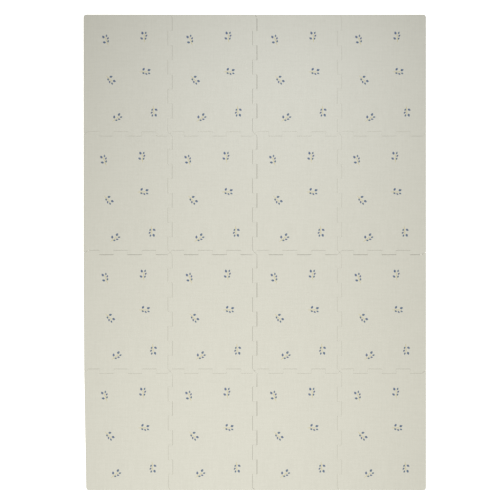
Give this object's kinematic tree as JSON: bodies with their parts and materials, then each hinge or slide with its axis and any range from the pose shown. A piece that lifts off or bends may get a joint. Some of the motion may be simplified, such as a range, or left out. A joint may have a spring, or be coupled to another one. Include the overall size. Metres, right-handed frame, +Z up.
{
  "type": "foam puzzle mat",
  "caption": "Flat floor mat of interlocking foam tiles with square tabs, pale ground printed with small blue sprigs.",
  "frame": {"origin": "middle of the mat's underside, on the floor", "axes": "+Z up out of the printed face, +Y along the mat's long side towards the picture's top, +X along its short side towards the picture's right"},
  "size_m": [1.54, 2.1396, 0.0127],
  "materials": {
    "printed_foam": "matt closed-cell foam, printed on top with small blue sprigs on pale linen grain, plain underneath"
  },
  "bodies": {
    "root": {"tile_r1_c1": "printed_foam", "tile_r1_c2": "printed_foam", "tile_r1_c3": "printed_foam", "tile_r1_c4": "printed_foam", "tile_r2_c1": "printed_foam", "tile_r2_c2": "printed_foam", "tile_r2_c3": "printed_foam", "tile_r2_c4": "printed_foam", "tile_r3_c1": "printed_foam", "tile_r3_c2": "printed_foam", "tile_r3_c3": "printed_foam", "tile_r3_c4": "printed_foam", "tile_r4_c1": "printed_foam", "tile_r4_c2": "printed_foam", "tile_r4_c3": "printed_foam", "tile_r4_c4": "printed_foam"}
  },
  "joints": []
}
